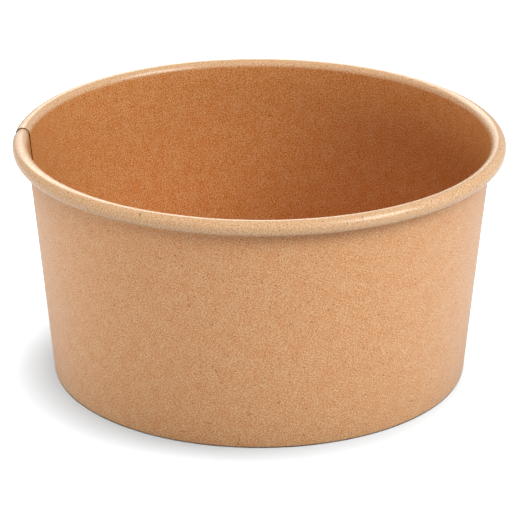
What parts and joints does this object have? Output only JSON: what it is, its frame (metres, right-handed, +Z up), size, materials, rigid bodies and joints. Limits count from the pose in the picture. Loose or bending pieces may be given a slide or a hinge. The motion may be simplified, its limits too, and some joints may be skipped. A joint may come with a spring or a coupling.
{
  "type": "paper salad bowl",
  "caption": "Round tapered paper bowl for salads and takeaway food: a rolled kraft-board wall with a curled rim and a lap seam, closed by a recessed base disc.",
  "frame": {"origin": "centre of the foot ring, on the surface that the bowl stands on", "axes": "+Z up along the bowl's axis, out of its mouth; the lap seam is near -X, and the picture is taken from -Y"},
  "size_m": [0.15, 0.15, 0.075],
  "materials": {
    "wall_board": "uncoated brown kraft board outside, with a thin clear food-side coating inside",
    "base_board": "brown kraft board, with a thin clear food-side coating on top"
  },
  "bodies": {
    "root": {"side_wall": "wall_board", "base_disc": "base_board"}
  },
  "joints": []
}
